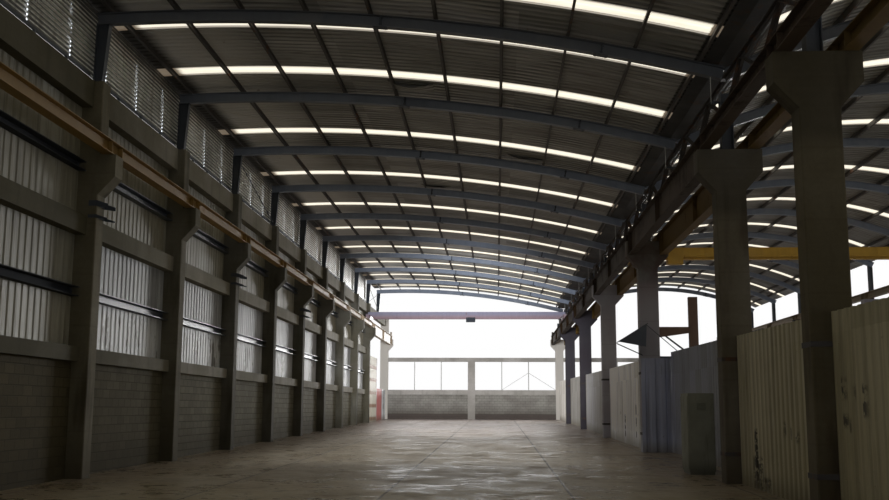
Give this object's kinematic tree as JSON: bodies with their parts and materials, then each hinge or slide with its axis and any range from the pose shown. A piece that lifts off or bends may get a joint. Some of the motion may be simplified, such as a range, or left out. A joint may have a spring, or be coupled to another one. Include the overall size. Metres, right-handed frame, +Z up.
{
  "type": "two-nave factory hall with overhead cranes, 1:2 scale model",
  "caption": "Open-ended factory hall with curved steel roofs on concrete columns, skylight strips, crane runways and travelling cranes with hoists.",
  "frame": {"origin": "centre of the slab's underside, below the middle column row halfway along the hall", "axes": "+X across the naves from the walled side to the open side, +Y along the naves from the open near end to the far wall, +Z up"},
  "size_m": [14.205, 36.32, 5.4],
  "materials": {
    "floor_concrete": "worn concrete with stains and joints",
    "precast_concrete": "weathered precast concrete",
    "blockwork": "bare grey-brown blocks in mortar",
    "navy_steel": "dark slate-blue paint, dusty",
    "wall_sheeting": "pale profiled sheet with streaks and rust",
    "roof_sheeting": "grey-brown profiled sheet, dull",
    "skylight_sheeting": "translucent white corrugated sheet",
    "ochre_steel": "ochre-yellow paint, rusty and worn",
    "rusty_steel": "brown rust over old paint",
    "grey_steel": "pale grey paint, dusty",
    "cabinet_paint": "pale grey-green enamel, dusty"
  },
  "bodies": {
    "building": {"bracing_rods": "navy_steel", "column_clamps": "navy_steel", "column_frame": "navy_steel", "electrical_cabinet": "cabinet_paint", "far_block_wall": "blockwork", "far_braces": "grey_steel", "far_coping": "precast_concrete", "far_posts": "precast_concrete", "far_upper_beams": "precast_concrete", "first_nave_purlins": "navy_steel", "first_nave_rafters": "navy_steel", "first_nave_roof_sheets": "roof_sheeting", "first_nave_skylights": "skylight_sheeting", "floor_slab": "floor_concrete", "hoarding_rails": "rusty_steel", "hoarding_sheets": "wall_sheeting", "left_block_wall": "blockwork", "left_columns": "precast_concrete", "left_crane_runway": "ochre_steel", "left_dado_beams": "precast_concrete", "left_end_panels": "wall_sheeting", "left_middle_beams": "precast_concrete", "left_stub_columns": "navy_steel", "left_top_beams": "precast_concrete", "louvre_band": "wall_sheeting", "louvre_posts": "navy_steel", "middle_columns": "precast_concrete", "middle_lattice_girder": "navy_steel", "middle_left_crane_runway": "rusty_steel", "middle_right_crane_runway": "ochre_steel", "middle_stub_columns": "navy_steel", "right_columns": "precast_concrete", "right_crane_runway": "ochre_steel", "right_stub_columns": "navy_steel", "second_nave_purlins": "navy_steel", "second_nave_rafters": "navy_steel", "second_nave_roof_sheets": "roof_sheeting", "second_nave_skylights": "skylight_sheeting", "valley_gutter": "navy_steel", "wall_rails": "navy_steel", "wall_sheets": "wall_sheeting"},
    "first_crane": {"first_crane_beam": "rusty_steel", "first_crane_end_carriages": "rusty_steel"},
    "first_hoist": {"first_crane_hoist": "rusty_steel"},
    "second_crane": {"second_crane_beam": "ochre_steel", "second_crane_end_carriages": "ochre_steel"},
    "second_hoist": {"second_crane_hoist": "ochre_steel"}
  },
  "joints": [
    {"name": "first_crane_travel", "type": "slide", "parent": "building", "child": "first_crane", "axis": [0, 1, 0], "range_m": [-28.34, 6.34]},
    {"name": "first_hoist_travel", "type": "slide", "parent": "first_crane", "child": "first_hoist", "axis": [1, 0, 0], "range_m": [-3.085, 2.795]},
    {"name": "second_crane_travel", "type": "slide", "parent": "building", "child": "second_crane", "axis": [0, 1, 0], "range_m": [-14.84, 19.84]},
    {"name": "second_hoist_travel", "type": "slide", "parent": "second_crane", "child": "second_hoist", "axis": [1, 0, 0], "range_m": [-0.55, 5.33]}
  ]
}
